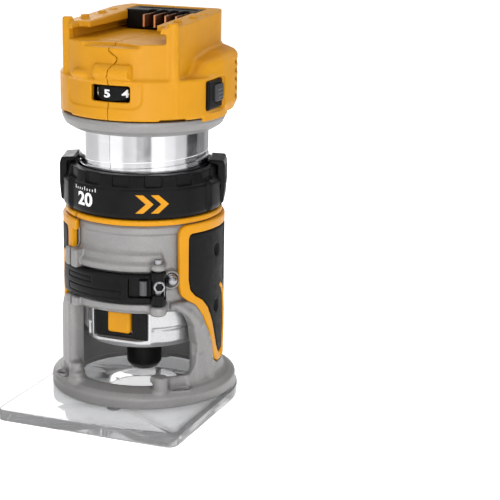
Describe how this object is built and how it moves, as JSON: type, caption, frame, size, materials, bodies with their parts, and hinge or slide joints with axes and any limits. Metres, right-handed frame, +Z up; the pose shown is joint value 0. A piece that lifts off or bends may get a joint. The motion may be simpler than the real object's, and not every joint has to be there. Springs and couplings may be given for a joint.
{
  "type": "trim router",
  "caption": "Compact palm router: motor in a yellow head slides in a cast base with a clamping lever, turning depth ring and clear square-fronted sub-base.",
  "frame": {"origin": "on the surface the sub-base stands on, under the middle of the tool's bounding box; the spindle axis stands 11.75 mm behind it", "axes": "+Z up along the spindle axis, -Y to the front where the speed dial and bit window are, +X to the side with the power button"},
  "size_m": [0.103, 0.1264, 0.208],
  "materials": {
    "yellow_shell": "satin moulded",
    "yellow_trim": "satin soft moulding",
    "black_moulding": "satin moulded",
    "black_nut": "black oxide",
    "black_grip": "matte rubber",
    "grey_button": "satin moulded",
    "cast_grey": "die-cast, satin",
    "bright_barrel": "fine turned",
    "steel": "machined",
    "copper": "bare copper",
    "board_green": "coated board",
    "clear_base": "clear polished plastic",
    "lens": "polished lens"
  },
  "bodies": {
    "base": {"base_casting": "cast_grey", "sub_base": "clear_base", "sub_base_screw_1": "steel", "sub_base_screw_2": "steel", "sub_base_screw_3": "steel", "sub_base_screw_4": "steel", "collar_band": "yellow_trim", "lever_pin": "steel", "guide_pin": "steel", "tension_bolt": "steel", "grip_left": "black_grip", "grip_right": "black_grip", "grip_trim_left": "yellow_trim", "grip_trim_right": "yellow_trim"},
    "motor": {"motor_barrel": "bright_barrel", "nose_housing": "cast_grey", "work_light_left": "lens", "work_light_right": "lens", "lock_plate": "black_moulding", "lock_spring": "steel", "stator": "copper", "upper_bearing": "steel", "lower_bearing": "steel", "housing_left": "yellow_shell", "housing_right": "yellow_shell", "housing_screw_1": "steel", "housing_screw_2": "steel", "housing_screw_3": "steel", "housing_screw_4": "steel", "terminal_block": "black_moulding", "terminal_blade_1": "copper", "terminal_blade_2": "copper", "terminal_blade_3": "copper", "terminal_blade_4": "copper", "controller_board": "board_green", "speed_sensor": "black_moulding", "switch_bezel": "black_moulding"},
    "ring": {"depth_ring": "black_moulding", "tab_pin_left": "steel", "tab_pin_right": "steel"},
    "tab_left": {"release_tab_left": "black_moulding"},
    "tab_right": {"release_tab_right": "black_moulding"},
    "lever": {"clamp_lever": "black_moulding", "lever_roller": "grey_button"},
    "rotor_shaft": {"spindle": "steel", "rotor": "steel", "cooling_fan": "black_moulding", "collet": "steel", "collet_nut": "black_nut"},
    "lock": {"lock_button": "yellow_trim"},
    "dial": {"speed_dial": "black_moulding"},
    "switch": {"power_button": "grey_button"}
  },
  "joints": [
    {"name": "motor_slide", "type": "slide", "parent": "base", "child": "motor", "axis": [0, 0, 1], "range_m": [-0.004, 0.034]},
    {"name": "ring_turn", "type": "hinge", "parent": "base", "child": "ring", "pos_m": [0, 0.01175, 0.118], "axis": [0, 0, 1], "range_deg": [-1226, 146]},
    {"name": "tab_left_press", "type": "hinge", "parent": "ring", "child": "tab_left", "pos_m": [-0.03782, -0.00127, 0.119], "axis": [0.3256, -0.9455, 0], "range_deg": [0, 7], "stiffness_Nm_per_rad": 0.6, "springref_deg": -4.58},
    {"name": "tab_right_press", "type": "hinge", "parent": "ring", "child": "tab_right", "pos_m": [0.03782, 0.02477, 0.119], "axis": [-0.3256, 0.9455, 0], "range_deg": [0, 7], "stiffness_Nm_per_rad": 0.6, "springref_deg": -4.58},
    {"name": "lever_open", "type": "hinge", "parent": "base", "child": "lever", "pos_m": [0.0252, -0.02555, 0.07], "axis": [0, 0, 1], "range_deg": [0, 110]},
    {"name": "spindle_spin", "type": "hinge", "parent": "motor", "child": "rotor_shaft", "pos_m": [0, 0.01175, 0.1], "axis": [0, 0, 1], "continuous": true},
    {"name": "lock_press", "type": "slide", "parent": "motor", "child": "lock", "axis": [0, 1, 0], "range_m": [0, 0.003], "stiffness_N_per_m": 800, "springref_m": -0.002, "deforming": ["lock_spring"]},
    {"name": "dial_turn", "type": "hinge", "parent": "motor", "child": "dial", "pos_m": [0.0009, -0.02145, 0.1715], "axis": [0, 0, 1], "range_deg": [-180, 45]},
    {"name": "power_press", "type": "slide", "parent": "motor", "child": "switch", "axis": [-1, 0, 0], "range_m": [0, 0.0016], "stiffness_N_per_m": 900, "springref_m": -0.002}
  ],
  "couplings": [
    {"joint": "ring_turn", "follows": "motor_slide", "rad_per_m": -628.32}
  ]
}
